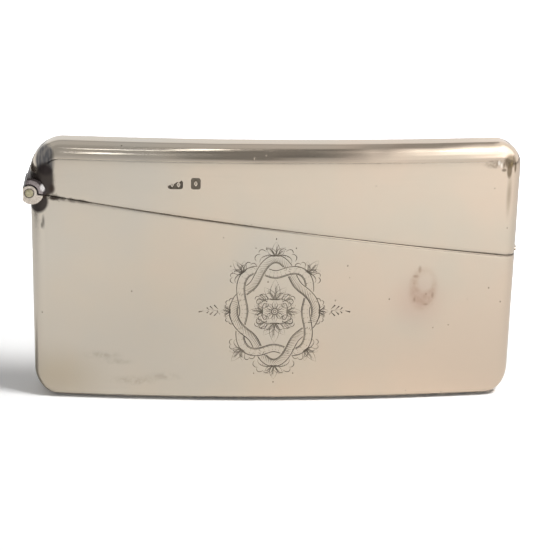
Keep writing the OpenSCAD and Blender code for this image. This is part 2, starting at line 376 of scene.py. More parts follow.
def wear(bm):
    """A case carried in a pocket: its faces a little uneven and its edges dinged, always inwards.
    Near the hinge, where it was never bent, it stays true."""
    bm.normal_update()
    moved = {}
    for v in bm.verts:
        calm = min(1, max(0, (from_axis(v) - TRUE_WITHIN)/TRUE_FADE))
        edge = 1 - abs(v.normal.y)**6
        ding = max(0, noise.noise(v.co/DING_LENGTH + Vector((7, 3, 1))) - DING_FROM)
        moved[v] = v.normal*calm*(sunk(v.co) + DING*edge*ding)
    for v, by in moved.items():
        v.co -= by


def as_made(thing):
    """The mesh of an object in millimetres, with its modifiers, which takes the object's place."""
    bpy.context.view_layer.update()
    done = bmesh.new()
    done.from_object(thing, bpy.context.evaluated_depsgraph_get())
    bpy.data.objects.remove(thing)
    bmesh.ops.scale(done, vec=(1000,)*3, verts=done.verts)
    return done


MOUTH_EASE = 0.3
MOUTH_SINK = 0.12


def sawn(bm, place, **cleared):
    """Cuts every face by a plane along the lid line."""
    bmesh.ops.bisect_plane(bm, geom=bm.verts[:] + bm.edges[:] + bm.faces[:], plane_co=place,
                           plane_no=SEAM_UP, **cleared)


def shell(side, material):
    """The body (side -1) or the lid (side 1): the skin cut at the lid line, its mouth eased with a
    file, given its wall, and cleared by a round cutter for the hinge."""
    bm = box_skin()
    mouth = AXIS + side*SEAM_UP*SEAM_GAP/2
    sawn(bm, mouth, clear_inner=side > 0, clear_outer=side < 0)
    for lip in (0.06, 0.14, MOUTH_EASE, 0.8):
        beyond = mouth + side*SEAM_UP*lip
        sawn(bm, beyond)
    cuts(bm, (0, 0, 1), range(1, 34),
         lambda f: side*(f.calc_center_median() - beyond).dot(SEAM_UP) > 0 and abs(f.normal.z) < 0.3)
    wear(bm)
    bmesh.ops.recalc_face_normals(bm, faces=bm.faces)
    bm.normal_update()
    filed = [v.normal*MOUTH_SINK*max(0, 1 - side*(v.co - mouth).dot(SEAM_UP)/MOUTH_EASE)**2
             for v in bm.verts]
    sheet = add_object("sheet", bm, material)
    wall = sheet.modifiers.new("wall", "SOLIDIFY")
    wall.thickness = WALL/1000
    wall.offset = -1
    wall.use_even_offset = True
    bm = as_made(sheet)
    bm.verts.ensure_lookup_table()
    for v, by in zip(bm.verts, filed):
        v.co -= by
    made = add_object("walls", bm, material)
    bm = bmesh.new()
    middle = AXIS + Vector((0, HINGE_FRONT + HINGE_LEN/2, 0))
    bmesh.ops.create_cone(bm, cap_ends=True, segments=64, radius1=SEAT_R, radius2=SEAT_R,
                          depth=HINGE_LEN + 2*SEAT_GAP,
                          matrix=Matrix.Translation(middle) @ Matrix.Rotation(math.pi/2, 4, "X"))
    cutter = add_object("seat_cutter", bm, material)
    seat = made.modifiers.new("seat", "BOOLEAN")
    seat.operation = "DIFFERENCE"
    seat.solver = "EXACT"
    seat.object = cutter
    done = as_made(made)
    bpy.data.objects.remove(cutter)
    return done


# Sterling silver, rolled, raised and hand polished, with a century's wear: a mirror that is slightly
# clouded, with fine wiping scratches, small pits, stains that polishing never reached, and tarnish in
# the joint and round the hinge.
def in_mm(tree):
    """The place on an object, in millimetres."""
    place = add(tree, "ShaderNodeTexCoord")
    return add(tree, "ShaderNodeVectorMath", {0: place.outputs["Object"]}, operation="SCALE", Scale=1000)


def stain(tree, mm, centre, radii, soft=1.0):
    """How much of a stain lies on a point: 1 in the middle of an ellipsoid, falling to 0 at its edge."""
    off = add(tree, "ShaderNodeVectorMath", {0: mm}, operation="SUBTRACT", in1=centre)
    part = add(tree, "ShaderNodeVectorMath", {0: off}, operation="DIVIDE", in1=radii)
    away = add(tree, "ShaderNodeVectorMath", {0: part}, operation="LENGTH")
    return add(tree, "ShaderNodeMapRange", {0: away.outputs["Value"]}, interpolation_type="SMOOTHSTEP",
               in1=1.0, in2=1.0 - soft)


def tarnished(tree, colour, code, strength, *masks):
    """A colour turned towards another by so much, where all its masks, each from 0 to 1, let it."""
    amount = add(tree, "ShaderNodeMath", {0: masks[0]}, operation="MULTIPLY", in1=strength)
    for mask in masks[1:]:
        amount = add(tree, "ShaderNodeMath", {0: amount, 1: mask}, operation="MULTIPLY")
    return add(tree, "ShaderNodeMix", {0: amount, 6: colour}, data_type="RGBA", in7=linear(code)).outputs[2]


def spotted(tree, colour, mm, code, strength, soft, spots, *masks):
    """A colour with stains of one kind, each given by its middle and its half widths."""
    for middle, radii in spots:
        colour = tarnished(tree, colour, code, strength, stain(tree, mm, middle, radii, soft), *masks)
    return colour


polished, tree = new_tree("polished_sterling_silver")
mm = in_mm(tree)
parts = add(tree, "ShaderNodeSeparateXYZ", {0: mm})
# Clouds of old lacquer and polish, 20 mm across, and painted light that makes the right a little lighter
# and warmer than the left
cloud = add(tree, "ShaderNodeTexNoise", {"Vector": mm}, Scale=0.045, Detail=3.0)
clouds_and_painted_light = add(tree, "ShaderNodeMath", {0: parts.outputs["X"], 2: cloud}, operation="MULTIPLY_ADD", in1=0.004)
colour = add(tree, "ShaderNodeValToRGB", {0: clouds_and_painted_light},
             stops=[(0.3, linear("#d3cabc")), (0.5, linear("#d9ccba")), (0.7, linear("#e0cdb9"))])
# A grain of 1 to 3 mm that breaks up smears and dirt, and a finer mottle that breaks up the stains
grain = add(tree, "ShaderNodeTexNoise", {"Vector": mm}, Scale=0.7, Detail=5.0, Roughness=0.65)
patchy = add(tree, "ShaderNodeMapRange", {0: grain}, in1=0.38, in2=0.62)
mottle = add(tree, "ShaderNodeTexNoise", {"Vector": mm}, Scale=1.3, Detail=3.0)
mottled = add(tree, "ShaderNodeMapRange", {0: mottle}, in1=0.4, in2=0.62, in3=0.3, in4=1.0)
# The ring that something damp left, in a wider pink haze, with a few dark specks in it
haze = stain(tree, mm, (28.4, -3.0, 20.8), (7.5, 8.0, 8.0), 1.0)
colour = tarnished(tree, colour, "#d2ae9e", 0.42, haze)
ring_out = stain(tree, mm, (29.3, -3.3, 23.2), (3.5, 8.0, 5.4), 0.5)
ring_in = stain(tree, mm, (29.7, -3.3, 24.6), (2.3, 8.0, 2.9), 0.6)
ring = add(tree, "ShaderNodeMath", {0: ring_out, 1: ring_in}, operation="SUBTRACT", use_clamp=True)
colour = tarnished(tree, colour, "#c0a28d", 0.36, ring)
colour = tarnished(tree, colour, "#ab8d76", 0.3, ring, mottled)
colour = spotted(tree, colour, mm, "#836650", 0.4, 0.9, (
    ((28.5, -3.3, 27.4), (0.5, 8.0, 1.1)), ((27.7, -3.3, 25.9), (0.8, 8.0, 0.5)),
    ((31.3, -3.3, 21.8), (0.45, 8.0, 0.9)), ((30.0, -3.3, 22.1), (0.35, 8.0, 0.35)),
    ((30.0, -3.3, 19.9), (0.8, 8.0, 0.35)), ((27.7, -3.3, 21.0), (0.35, 8.0, 0.7))))
# Smears at the foot near the hinge
colour = spotted(tree, colour, mm, "#97897a", 0.36, 1.0, (
    ((-34.5, -3.0, 8.9), (5.5, 8.0, 1.3)), ((-31.5, -3.0, 7.6), (4.5, 8.0, 1.0)),
    ((-28.0, -3.0, 3.6), (6.5, 8.0, 1.5)), ((-22.0, -3.0, 4.6), (5.0, 8.0, 1.2))), patchy)
colour = spotted(tree, colour, mm, "#b5a488", 0.48, 1.0, [((-44.0, -1.5, 4.0), (14.0, 8.0, 9.0))])
# Dings and smears of the upper right corner, where the case was dropped, two painted white highlights among
# the dings, and olive lacquer on its end
shoulder = stain(tree, mm, (42.3, -2.2, 48.7), (2.6, 8.0, 1.1), 0.7)
colour = tarnished(tree, colour, "#8b7d6c", 0.8, shoulder, mottled)
# The dark spots are dings; the near white spots between them are painted highlights
for code, dings_and_glints in (("#7a6b5b", [((44.3, -1.8, 47.5), (0.7, 8.0, 0.5))]),
                    ("#fff4e8", [((43.2, -1.8, 49.0), (0.4, 8.0, 0.7)),
                                 ((43.7, -1.8, 48.5), (0.3, 8.0, 0.8))]),
                    ("#7a6b5b", [((44.2, -1.8, 48.4), (0.2, 8.0, 0.9))])):
    colour = spotted(tree, colour, mm, code, 0.8, 0.7, dings_and_glints)
colour = spotted(tree, colour, mm, "#8c7d68", 0.6, 1.0, [((45.6, -0.8, 42.5), (0.8, 6.0, 6.5))])
colour = spotted(tree, colour, mm, "#74644f", 0.85, 0.5, (
    ((45.4, -0.8, 49.1), (1.6, 6.0, 1.8)), ((45.4, -0.8, 47.4), (0.7, 6.0, 2.1)),
    ((46.6, -0.8, 48.0), (0.3, 6.0, 1.5))))
colour = spotted(tree, colour, mm, "#a28f66", 0.6, 1.0, [((45.8, -0.8, 48.7), (0.5, 6.0, 0.9))])
# Round the hinge, on the rounded end: partly tarnish that the cloth can't reach, partly a painted dark
# reflection of what stands beyond the paper at the left
axis_off = add(tree, "ShaderNodeVectorMath", {0: mm}, operation="SUBTRACT", in1=tuple(AXIS))
round_end = add(tree, "ShaderNodeMapRange", {0: parts.outputs["X"]}, interpolation_type="SMOOTHSTEP",
                in1=-42.9, in2=-43.9)
painted_dark_reflection = stain(tree, mm, (-44.9, -1.2, 48.9), (2.4, 6.0, 3.4), 0.3)
wiped_down = add(tree, "ShaderNodeMapping", {0: mm}, Scale=(2.4, 0.6, 0.25))
streaks = add(tree, "ShaderNodeTexNoise", {"Vector": wiped_down}, Scale=1.0, Detail=3.0)
streaks = add(tree, "ShaderNodeMapRange", {0: streaks}, in1=0.38, in2=0.6, in3=0.84, in4=1.0)
colour = tarnished(tree, colour, "#47484c", 0.95, painted_dark_reflection, round_end, streaks)
# Painted shade: over, beside and under the hinge the end is painted near black for the hinge's shadow,
# partly tarnish; the same mask makes the silver rougher there
over_hinge = stain(tree, mm, (-45.1, 0.0, 45.0), (2.4, 8.0, 4.2), 0.3)
beside_hinge = stain(tree, mm, (-47.3, 0.0, 44.4), (2.4, 8.0, 2.4), 0.3)
under_hinge = stain(tree, mm, (-46.7, 0.0, 40.9), (2.5, 8.0, 3.0), 0.25)
hinge_shade_and_tarnish = add(tree, "ShaderNodeMath", {0: over_hinge, 1: beside_hinge}, operation="MAXIMUM")
hinge_shade_and_tarnish = add(tree, "ShaderNodeMath", {0: hinge_shade_and_tarnish, 1: under_hinge}, operation="MAXIMUM")
colour = spotted(tree, colour, mm, "#4e4640", 0.75, 0.9, (
    ((-45.6, 0.0, 36.6), (0.45, 8.0, 2.1)), ((-45.9, 0.0, 35.8), (0.35, 8.0, 1.0))))
colour = tarnished(tree, colour, "#37302f", 0.94, hinge_shade_and_tarnish, round_end)
colour = spotted(tree, colour, mm, "#443933", 0.88, 0.7, (
    ((-43.4, 0.0, 41.5), (1.5, 8.0, 0.75)), ((-43.8, 0.0, 43.3), (0.9, 8.0, 1.4))))
# Dirt in the joint: thick and ragged near the hinge, a trace in the middle, an even line at the free end
above = add(tree, "ShaderNodeVectorMath", {0: axis_off}, operation="DOT_PRODUCT", in1=tuple(SEAM_UP))
from_seam = add(tree, "ShaderNodeMath", {0: above.outputs["Value"]}, operation="ABSOLUTE")
along = add(tree, "ShaderNodeMapRange", {0: parts.outputs["X"]}, in1=-50.0, in2=50.0)
reach = add(tree, "ShaderNodeValToRGB", {0: along}, stops=[(place, grey(wide)) for place, wide in (
    (0.06, 1.3), (0.1, 0.8), (0.14, 0.3), (0.2, 0.08), (0.5, 0.1), (0.6, 0.16), (0.75, 0.22), (0.85, 0.42),
    (0.97, 0.5))])
even = add(tree, "ShaderNodeMapRange", {0: along}, in1=0.1, in2=0.3, in4=0.75)
ragged = add(tree, "ShaderNodeMath", {0: patchy, 1: even}, operation="MAXIMUM")
reach = add(tree, "ShaderNodeMath", {0: ragged, 1: reach}, operation="MULTIPLY")
near = add(tree, "ShaderNodeMapRange", {0: from_seam, 1: reach}, in2=0.0)
colour = tarnished(tree, colour, "#4a4037", 0.95, near)
# Pits, a third of a millimetre wide, in most cells of a 4 mm net
cells = add(tree, "ShaderNodeTexVoronoi", {"Vector": mm}, Scale=0.25)
pit = add(tree, "ShaderNodeMapRange", {0: cells.outputs["Distance"]}, interpolation_type="SMOOTHSTEP",
          in1=0.06, in2=0.02)
chosen = add(tree, "ShaderNodeSeparateColor", {0: cells.outputs["Color"]})
some = add(tree, "ShaderNodeMath", {0: chosen}, operation="GREATER_THAN", in1=0.3)
pits = add(tree, "ShaderNodeMath", {0: pit, 1: some}, operation="MULTIPLY")
colour = tarnished(tree, colour, "#7d7365", 0.7, pits)
# Wiping scratches: hairlines drawn out fifty to one along the case
stretch = add(tree, "ShaderNodeMapping", {0: mm}, Rotation=(0.0, 0.35, 0.0), Scale=(0.06, 0.5, 3.2))
hair = add(tree, "ShaderNodeTexNoise", {"Vector": stretch}, Scale=1.0, Detail=6.0, Roughness=0.7)
# What the silver shows is bent by a broad unevenness, then by the hairlines and then by the pits
wave = add(tree, "ShaderNodeTexNoise", {"Vector": mm}, Scale=0.11, Detail=1.0)
bend = add(tree, "ShaderNodeBump", {"Height": wave}, Distance=0.00002)
lines = add(tree, "ShaderNodeBump", {"Height": hair, "Normal": bend}, Distance=0.0000012)
dents = add(tree, "ShaderNodeBump", {"Height": pits, "Normal": lines}, Distance=-0.00004)
wiped = add(tree, "ShaderNodeMapRange", {0: hair}, in1=0.3, in2=0.7, in3=0.1, in4=0.17)
rough = add(tree, "ShaderNodeMath", {0: hinge_shade_and_tarnish, 2: wiped}, operation="MULTIPLY_ADD", in1=0.25)
metal = add(tree, "ShaderNodeBsdfPrincipled",
            {"Base Color": colour, "Roughness": rough, "Normal": dents}, Metallic=1.0)
add(tree, "ShaderNodeOutputMaterial", {"Surface": metal})

body_shell = add_object("body_shell", shell(-1, polished), polished)
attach(body_shell, "body")
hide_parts("body_front", "body_back")

lid_shell = add_object("lid_shell", shell(1, polished), polished)
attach(lid_shell, "lid")
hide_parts("lid_front", "lid_back")

# The base plate: a flat strip of the same sheet, soldered between the walls and rubbed down on paper,
# so that it is duller than the shells.
def dress(node, material):
    """Gives a CAD node its material."""
    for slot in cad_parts[node].material_slots:
        slot.material = material


satin, tree = new_tree("satin_sterling_sheet")
mm = in_mm(tree)
cloud = add(tree, "ShaderNodeTexNoise", {"Vector": mm}, Scale=0.12, Detail=4.0)
colour = add(tree, "ShaderNodeValToRGB", {0: cloud},
             stops=[(0.35, linear("#b8ab99")), (0.65, linear("#d3c7b6"))])
# Rubbed lines run along the case, twelve to a millimetre at the real one, three here so that they show
stretch = add(tree, "ShaderNodeMapping", {0: mm}, Scale=(0.15, 3.0, 3.0))
rubbed = add(tree, "ShaderNodeTexNoise", {"Vector": stretch}, Scale=1.0, Detail=4.0)
lines = add(tree, "ShaderNodeBump", {"Height": rubbed}, Distance=0.000006)
rough = add(tree, "ShaderNodeMapRange", {0: cloud}, in1=0.3, in2=0.7, in3=0.26, in4=0.38)
metal = add(tree, "ShaderNodeBsdfPrincipled",
            {"Base Color": colour, "Roughness": rough, "Normal": lines}, Metallic=1.0)
add(tree, "ShaderNodeOutputMaterial", {"Surface": metal})
dress("base_plate", satin)

# The inner rim: a band of thinner sheet, sprung and soldered inside the mouth of the body, over which
# the lid closes. The lid has rubbed it bright, in upright streaks.
rim_silver, tree = new_tree("rubbed_rim_silver")
mm = in_mm(tree)
cloud = add(tree, "ShaderNodeTexNoise", {"Vector": mm}, Scale=0.25, Detail=4.0)
colour = add(tree, "ShaderNodeValToRGB", {0: cloud},
             stops=[(0.35, linear("#b3a591")), (0.65, linear("#d6cab8"))])
stretch = add(tree, "ShaderNodeMapping", {0: mm}, Rotation=(0.0, 0.13, 0.0), Scale=(4.0, 4.0, 0.12))
rubbed = add(tree, "ShaderNodeTexNoise", {"Vector": stretch}, Scale=1.0, Detail=3.0)
lines = add(tree, "ShaderNodeBump", {"Height": rubbed}, Distance=0.0000015)
rough = add(tree, "ShaderNodeMapRange", {0: rubbed}, in1=0.3, in2=0.7, in3=0.24, in4=0.34)
metal = add(tree, "ShaderNodeBsdfPrincipled",
            {"Base Color": colour, "Roughness": rough, "Normal": lines}, Metallic=1.0)
add(tree, "ShaderNodeOutputMaterial", {"Surface": metal})
dress("inner_rim", rim_silver)

# The hinge: two bearers of drawn silver strip, soldered to the ends of body and lid, and three
# knuckles of tube soldered into them. All was filed flush at the front and the back, and its edges
# were broken, so that dirt sits in every joint.
PIN_R = 0.8
KNUCKLE_R = 1.6
KNUCKLE_EASE = 0.12
BEARER_EASE = 0.26


def eased(node, width, where):
    """The mesh of a CAD node with the edges of its front and back, where they lie free, rounded."""
    bm = bmesh.new()
    bm.from_mesh(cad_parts[node].data)
    bmesh.ops.scale(bm, vec=(1000,)*3, verts=bm.verts)
    bmesh.ops.remove_doubles(bm, verts=bm.verts, dist=1e-4)
    bmesh.ops.dissolve_limit(bm, angle_limit=math.radians(0.5), verts=bm.verts, edges=bm.edges,
                             delimit={"NORMAL"})
    low, high = min(v.co.y for v in bm.verts), max(v.co.y for v in bm.verts)
    rim = [e for e in bm.edges if len(e.link_faces) == 2 and e.calc_face_angle() > 0.6
           and any(all(abs(v.co.y - y) < 1e-3 for v in e.verts) for y in (low, high))
           and all(where(v) for v in e.verts)]
    rounded(bm, rim, width, 3, clamp_overlap=True)
    made = add_object(f"{node}_eased", bm, hinge_silver)
    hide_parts(node)
    return made


hinge_silver, tree = new_tree("filed_hinge_silver")
mm = in_mm(tree)
cloud = add(tree, "ShaderNodeTexNoise", {"Vector": mm}, Scale=0.9, Detail=4.0)
colour = add(tree, "ShaderNodeValToRGB", {0: cloud},
             stops=[(0.3, linear("#cbbeb0")), (0.7, linear("#eadfd2"))])
off = add(tree, "ShaderNodeVectorMath", {0: mm}, operation="SUBTRACT", in1=tuple(AXIS))
flat = add(tree, "ShaderNodeVectorMath", {0: off}, operation="MULTIPLY", in1=(1, 0, 1))
away = add(tree, "ShaderNodeVectorMath", {0: flat}, operation="LENGTH").outputs["Value"]
# Dirt lies in the ring round the pin, and in the joint between the knuckles and the other bearer
at_pin = add(tree, "ShaderNodeMapRange", {0: away}, interpolation_type="SMOOTHSTEP",
             in1=PIN_R + 0.3, in2=PIN_R + 0.1)
past_seat = add(tree, "ShaderNodeMath", {0: away}, operation="SUBTRACT", in1=KNUCKLE_R + 0.06)
from_seat = add(tree, "ShaderNodeMath", {0: past_seat}, operation="ABSOLUTE")
in_joint = add(tree, "ShaderNodeMapRange", {0: from_seat}, interpolation_type="SMOOTHSTEP",
               in1=0.24, in2=0.1)
above = add(tree, "ShaderNodeVectorMath", {0: off}, operation="DOT_PRODUCT", in1=tuple(SEAM_UP))
upper = add(tree, "ShaderNodeMapRange", {0: above.outputs["Value"]}, in1=-0.3, in2=0.1)
# Painted reflections on the rounded lid bearer: it is painted duller than the rest, a mauve grey darkest
# towards the left and near black along its outer edge, and a painted white glint only where it ends
outside = add(tree, "ShaderNodeMapRange", {0: away}, in1=KNUCKLE_R, in2=KNUCKLE_R + 0.15)
parts = add(tree, "ShaderNodeSeparateXYZ", {0: off})
left = add(tree, "ShaderNodeMapRange", {0: parts.outputs["X"]}, in1=1.4, in2=-1.6)
colour = tarnished(tree, colour, "#8a7f85", 0.75, upper, outside)
colour = tarnished(tree, colour, "#453c40", 0.8, upper, outside, left)
rim = add(tree, "ShaderNodeMapRange", {0: away}, in1=2.5, in2=2.75)
colour = tarnished(tree, colour, "#352e2d", 0.9, upper, rim)
# A painted white glint, standing for the softbox reflected in the end of the lid bearer
painted_glint_at_end = stain(tree, mm, (-45.6, -2.0, 43.5), (0.65, 6.0, 1.0), 0.6)
colour = tarnished(tree, colour, "#fbf6f3", 0.95, upper, painted_glint_at_end)
from_line = add(tree, "ShaderNodeMath", {0: above.outputs["Value"]}, operation="ABSOLUTE")
at_line = add(tree, "ShaderNodeMapRange", {0: from_line}, in1=0.26, in2=0.1)
colour = tarnished(tree, colour, "#3a302c", 0.9, at_line, outside)
colour = tarnished(tree, colour, "#2e2826", 1.0, in_joint, upper)
colour = tarnished(tree, colour, "#3a322c", 0.85, at_pin)
scuff = add(tree, "ShaderNodeMapping", {0: mm}, Scale=(5.0, 1.0, 1.2))
scuffed = add(tree, "ShaderNodeTexNoise", {"Vector": scuff}, Scale=1.0, Detail=4.0)
lines = add(tree, "ShaderNodeBump", {"Height": scuffed}, Distance=0.000005)
rough = add(tree, "ShaderNodeMapRange", {0: scuffed}, in1=0.3, in2=0.7, in3=0.2, in4=0.34)
metal = add(tree, "ShaderNodeBsdfPrincipled",
            {"Base Color": colour, "Roughness": rough, "Normal": lines}, Metallic=1.0)
add(tree, "ShaderNodeOutputMaterial", {"Surface": metal})

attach(eased("body_bearer", BEARER_EASE, lambda v: from_axis(v) > SEAT_R + 0.05), "body")
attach(eased("lid_bearer", BEARER_EASE, lambda v: True), "lid")
for node in ("front_knuckle", "rear_knuckle"):
    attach(eased(node, KNUCKLE_EASE,
                  lambda v: v.co.z - AXIS.z > -0.15 or from_axis(v) < KNUCKLE_R - 0.3), "body")
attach(eased("lid_knuckle", KNUCKLE_EASE, lambda v: False), "lid")


# Solder: where the bearers meet the sheet the solder ran out in small bright lumps, which nobody
# filed away.
def solder(name, rides, lumps):
    """Squashed drops of solder, each given by its middle and its three half widths."""
    bm = bmesh.new()
    for middle, half in lumps:
        bmesh.ops.create_icosphere(bm, subdivisions=3, radius=1,
                                   matrix=Matrix.Translation(middle) @ Matrix.Diagonal((*half, 1)))
    made = add_object(name, bm, hinge_silver)
    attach(made, rides)


solder("lid_solder", "lid", [((-44.95, HINGE_FRONT + 0.45, 43.35), (0.42, 0.45, 0.34)),
                             ((-47.55, END_Y - 2.2, 45.75), (0.45, 0.7, 0.42)),
                             ((-47.6, END_Y + 1.6, 45.7), (0.4, 0.9, 0.36))])
solder("body_solder", "body", [((-46.3, HINGE_FRONT + 1.1, 40.45), (0.5, 0.5, 0.3)),
                               ((-47.8, END_Y + 1.2, 40.25), (0.34, 1.0, 0.28))])

# The hinge pin: a hard nickel silver wire, driven through the three knuckles and riveted over lightly
# at both ends. It has gone a dull olive.
pin_metal, tree = new_tree("dull_nickel_silver_wire")
mm = in_mm(tree)
cloud = add(tree, "ShaderNodeTexNoise", {"Vector": mm}, Scale=1.6, Detail=4.0)
colour = add(tree, "ShaderNodeValToRGB", {0: cloud},
             stops=[(0.35, linear("#aba282")), (0.65, linear("#c9c0a2"))])
dents = add(tree, "ShaderNodeBump", {"Height": cloud}, Distance=0.00003)
metal = add(tree, "ShaderNodeBsdfPrincipled", {"Base Color": colour, "Normal": dents},
            Metallic=1.0, Roughness=0.36)
add(tree, "ShaderNodeOutputMaterial", {"Surface": metal})
dress("hinge_pin", pin_metal)

# The thumb piece: a spindle turned from silver rod and soldered to the free end of the lid, worn
# bright by the thumb, with dirt in its roots.
thumb_silver, tree = new_tree("turned_thumb_silver")
mm = in_mm(tree)
cloud = add(tree, "ShaderNodeTexNoise", {"Vector": mm}, Scale=1.2, Detail=3.0)
colour = add(tree, "ShaderNodeValToRGB", {0: cloud},
             stops=[(0.4, linear("#b3a899")), (0.6, linear("#e6ddd0"))])
parts = add(tree, "ShaderNodeSeparateXYZ", {0: mm})
root = add(tree, "ShaderNodeMapRange", {0: parts.outputs["X"]}, interpolation_type="SMOOTHSTEP",
           in1=48.2, in2=47.95)
colour = tarnished(tree, colour, "#5d544b", 0.8, root)
metal = add(tree, "ShaderNodeBsdfPrincipled", {"Base Color": colour}, Metallic=1.0, Roughness=0.2)
add(tree, "ShaderNodeOutputMaterial", {"Surface": metal})
dress("thumb_piece", thumb_silver)


# The engraving: cut by hand with a burin into the silver of the front, and gone dark. Two interlaced
# straps, one hatched and one dotted, hold a rosette with four palmettes, and leaves and scrolls grow
# from their lobes. Each cut is drawn flat, as a thread that swells and tapers, and laid into the face.
ORNAMENT_AT = (-0.2, 18.8)
# Each strap by its half width, its half height and how deep its lobes are
STRAP_A = (7.0, 9.6, 0.15)
STRAP_B = (7.2, 9.3, -0.16)
STRAP_W = 1.6
# How wide a plain cut and a fine cut are, and what part of its width the thread of a cut is thick
CUT = 0.17
FINE = 0.1
THREAD_FLAT = 0.12


def turned(points, angle):
    """Points turned about the origin."""
    c, s = math.cos(angle), math.sin(angle)
    return [(u*c - v*s, u*s + v*c) for u, v in points]


def cut(points, width, swell=1.0):
    """One cut of the burin. A swell of 1 tapers both ends, 0.5 only the far one, and 0 none."""
    last = len(points) - 1
    for i, (u, v) in enumerate(points):
        t = i/last
        taper = math.sin(math.pi*t)**0.5 if swell == 1 else (1 - t)**0.7 if swell == 0.5 else 1
        points[i] = (u, v, width*max(0.12, taper))
    cuts_made.append(points)


def curve(*knots, steps=10):
    """Points along a cubic through four handles."""
    flat = geometry.interpolate_bezier(*[Vector((*k, 0)) for k in knots], steps)
    return [(p.x, p.y) for p in flat]


def lobed(strap, t, out=0.0):
    """A point of a strap's outline at a turn, moved out from its middle line."""
    a, b, k = strap
    def at(q):
        r = 1 + k*math.cos(4*q)
        return Vector((a*r*math.cos(q), b*r*math.sin(q)))
    along = (at(t + 0.01) - at(t - 0.01)).normalized()
    p = at(t) + out*Vector((along.y, -along.x))
    return p.x, p.y


def hidden(point, other, turn, over):
    """Whether a point lies under the other strap, which passes over at every second crossing."""
    crossing = round((math.degrees(turn) - 22.5)/45)
    if (crossing % 2 == 0) == over:
        return False
    return any(math.dist(point, q) < STRAP_W/2 + 0.06 for q in other)


def strap(this, other, over, hatched):
    """A strap: both edges, a shadow line inside one of them, and its hatching or its dots."""
    others = [lobed(other, math.radians(d)) for d in range(0, 360, 2)]
    for out, width in ((STRAP_W/2, CUT*1.15), (-STRAP_W/2, CUT*1.15), (-STRAP_W/2 + 0.2, FINE*1.3)):
        run = []
        for d in range(0, 361, 2):
            t = math.radians(d % 360)
            p = lobed(this, t, out)
            under = hidden(p, others, t, over)
            if not under:
                run.append(p)
            if (under or d == 360) and len(run) > 1:
                cut(run, width, swell=0)
                run = []
    count = 128 if hatched else 56
    for i in range(count):
        t = 2*math.pi*(i + 0.5)/count
        if hidden(lobed(this, t), others, t, over):
            continue
        if hatched:
            cut([lobed(this, t + 0.06*w, w*STRAP_W*0.46) for w in (-1, -0.4, 0.2, 0.8)], FINE*1.25,
                swell=0.5)
        else:
            cut([lobed(this, t + 0.01*w, (w - 1.1)*STRAP_W*0.2) for w in (-1, 0, 1)], FINE, swell=0.5)
            dot(*lobed(this, t, STRAP_W*0.2), 0.11)


def dot(u, v, size):
    """A prick of the burin."""
    cut([(u - size*0.4, v), (u, v), (u + size*0.4, v)], size*1.5, swell=0)


def leaf(at, angle, length, width, lines=4):
    """A pointed leaf: two swelling sides, a rib and fine cuts that shade its lower half."""
    sides = [curve((0, 0), (side*width*0.9, length*0.15), (side*width*0.75, length*0.6), (0, length),
                   steps=12) for side in (1, -1)]
    parts = [(side, CUT) for side in sides] + [([(0, 0.1*length), (0, 0.5*length), (0, 0.8*length)], FINE)]
    for i in range(lines):
        base = length*(0.12 + 0.5*i/lines)
        parts.append(([(0.05, base), (width*0.25, base + 0.18*length),
                       (width*0.42, base + 0.24*length)], FINE))
    for points, w in parts:
        cut([(at[0] + u, at[1] + v) for u, v in turned(points, angle)], w, swell=0.5)


def scroll(at, angle, size, hand, volute=True):
    """An acanthus scroll: a stem, which may curl into a volute, with three lobes along its back and
    five fine cuts that shade it. It is drawn one millimetre in size and then enlarged."""
    stem = curve((0, 0), (0.2, 0.9), (1.1, 1.2), (1.25, 0.55), steps=14)
    back = [curve((0, 0.1), (-0.5, 0.5), (-0.35, 0.9), (-0.05, 0.95)),
            curve((0.05, 0.8), (-0.1, 1.3), (0.25, 1.5), (0.5, 1.25)),
            curve((0.5, 1.1), (0.6, 1.5), (1.1, 1.5), (1.2, 1.05))]
    shade = [[(0.06 + 0.12*i, 0.42 + 0.11*i), (0.16 + 0.12*i, 0.38 + 0.1*i), (0.27 + 0.1*i, 0.3 + 0.11*i)]
             for i in range(5)]
    coil = [(0.32*(1 - 0.75*q/14), -0.45*q) for q in range(15)]
    spiral = [(0.93 + r*math.cos(t), 0.56 + r*math.sin(t)) for r, t in coil]
    parts = [(stem, CUT*1.2, 0.5)] + [(b, CUT, 1) for b in back] + [(s, FINE, 0.5) for s in shade]
    for points, w, swell in parts + [(spiral, CUT, 0.5)]*volute:
        grown = [(hand*size*u, size*v) for u, v in points]
        cut([(at[0] + u, at[1] + v) for u, v in turned(grown, angle)], w, swell)


cuts_made = []
strap(STRAP_A, STRAP_B, True, True)
strap(STRAP_B, STRAP_A, False, False)
# The rosette: eight petals round two rings
for i in range(8):
    petal = math.pi*i/4
    leaf((0.62*math.sin(-petal), 0.62*math.cos(petal)), petal, 1.75, 0.85, lines=2)
for radius in (0.28, 0.6):
    cut([(radius*math.cos(math.pi*q/10), radius*math.sin(math.pi*q/10)) for q in range(21)], CUT, swell=0)
# Four palmettes between the rosette and the straps
for angle, reach, size in ((0, 2.5, 4.3), (math.pi, 2.5, 4.3),
                           (math.pi/2, 2.4, 2.8), (-math.pi/2, 2.4, 2.8)):
    at = (reach*math.sin(-angle), reach*math.cos(angle))
    leaf(at, angle, size, size*0.36, lines=6)
    for hand in (1, -1):
        leaf(at, angle + hand*0.7, size*0.78, size*0.3, lines=5)
        scroll(at, angle - hand*1.05, size*0.5, hand)
